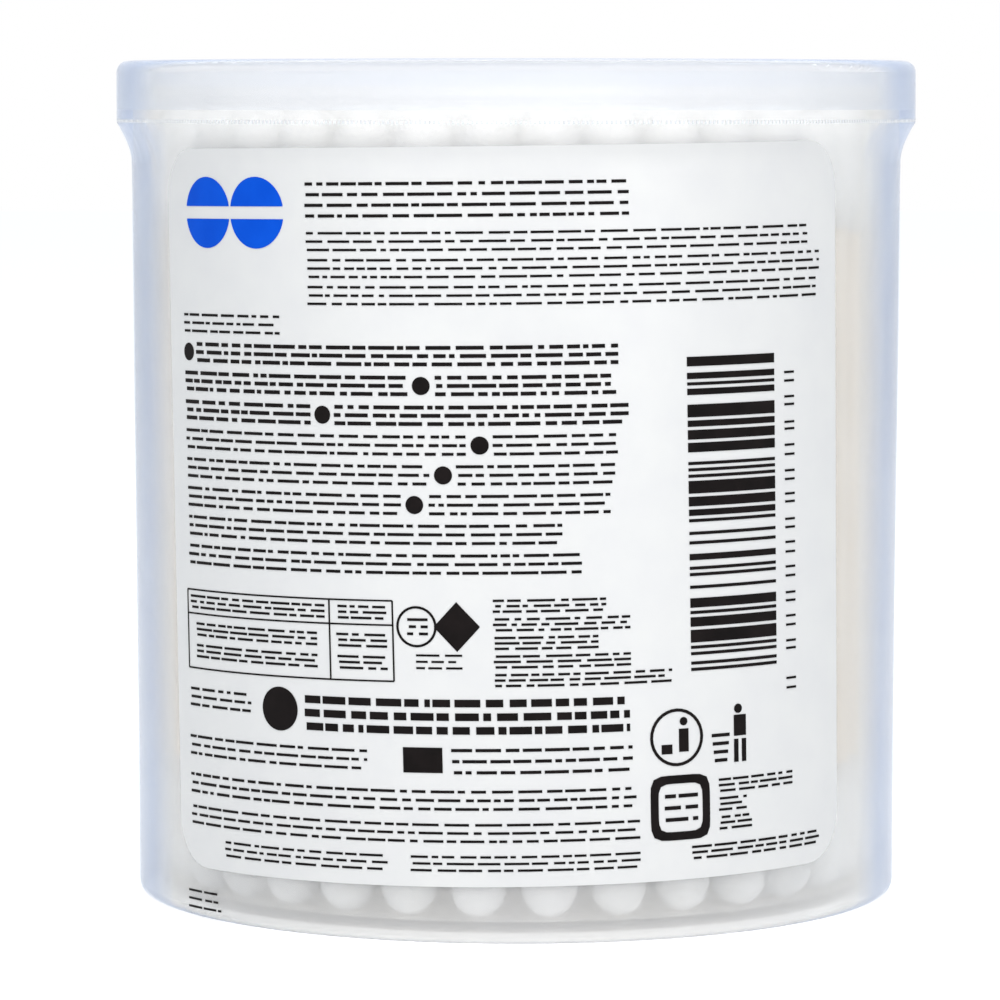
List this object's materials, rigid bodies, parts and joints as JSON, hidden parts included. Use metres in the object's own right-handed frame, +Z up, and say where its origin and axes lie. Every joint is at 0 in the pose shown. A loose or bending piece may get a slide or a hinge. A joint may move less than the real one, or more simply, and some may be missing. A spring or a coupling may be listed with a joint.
{
  "type": "cotton swab tub",
  "caption": "Round frosted plastic tub with a shallow snap lid and a clear printed film outside, filled with upright cotton swabs.",
  "frame": {"origin": "centre of the underside, on the surface that the tub stands on", "axes": "+Z up along the tub's axis, the printed side faces -Y, +X to the right of the print"},
  "size_m": [0.08, 0.08, 0.0832],
  "materials": {
    "tub_plastic": "frosted translucent polypropylene",
    "lid_plastic": "frosted translucent polypropylene",
    "clear_film": "clear glossy shrink film",
    "white_ink": "white print seen through glossy film",
    "blue_ink": "blue print seen through glossy film",
    "dark_ink": "black print seen through glossy film",
    "paper_stick": "rolled cream paper",
    "cotton": "wound white cotton"
  },
  "bodies": {
    "tub": {"tub": "tub_plastic", "film_sleeve": "clear_film", "label_field": "white_ink", "label_emblem": "blue_ink", "label_lines": "dark_ink", "label_frames": "dark_ink", "label_stripes": "dark_ink", "sticks_ring_1": "paper_stick", "sticks_ring_2": "paper_stick", "sticks_ring_3": "paper_stick", "sticks_ring_4": "paper_stick", "sticks_ring_5": "paper_stick", "sticks_ring_6": "paper_stick", "upper_buds_ring_1": "cotton", "upper_buds_ring_2": "cotton", "upper_buds_ring_3": "cotton", "upper_buds_ring_4": "cotton", "upper_buds_ring_5": "cotton", "upper_buds_ring_6": "cotton", "lower_buds_ring_1": "cotton", "lower_buds_ring_2": "cotton", "lower_buds_ring_3": "cotton", "lower_buds_ring_4": "cotton", "lower_buds_ring_5": "cotton", "lower_buds_ring_6": "cotton"},
    "lid": {"lid": "lid_plastic", "film_lid_band": "clear_film"}
  },
  "joints": [
    {"name": "lid_lift", "type": "slide", "parent": "tub", "child": "lid", "axis": [0, 0, 1], "range_m": [0, 0.04]}
  ]
}
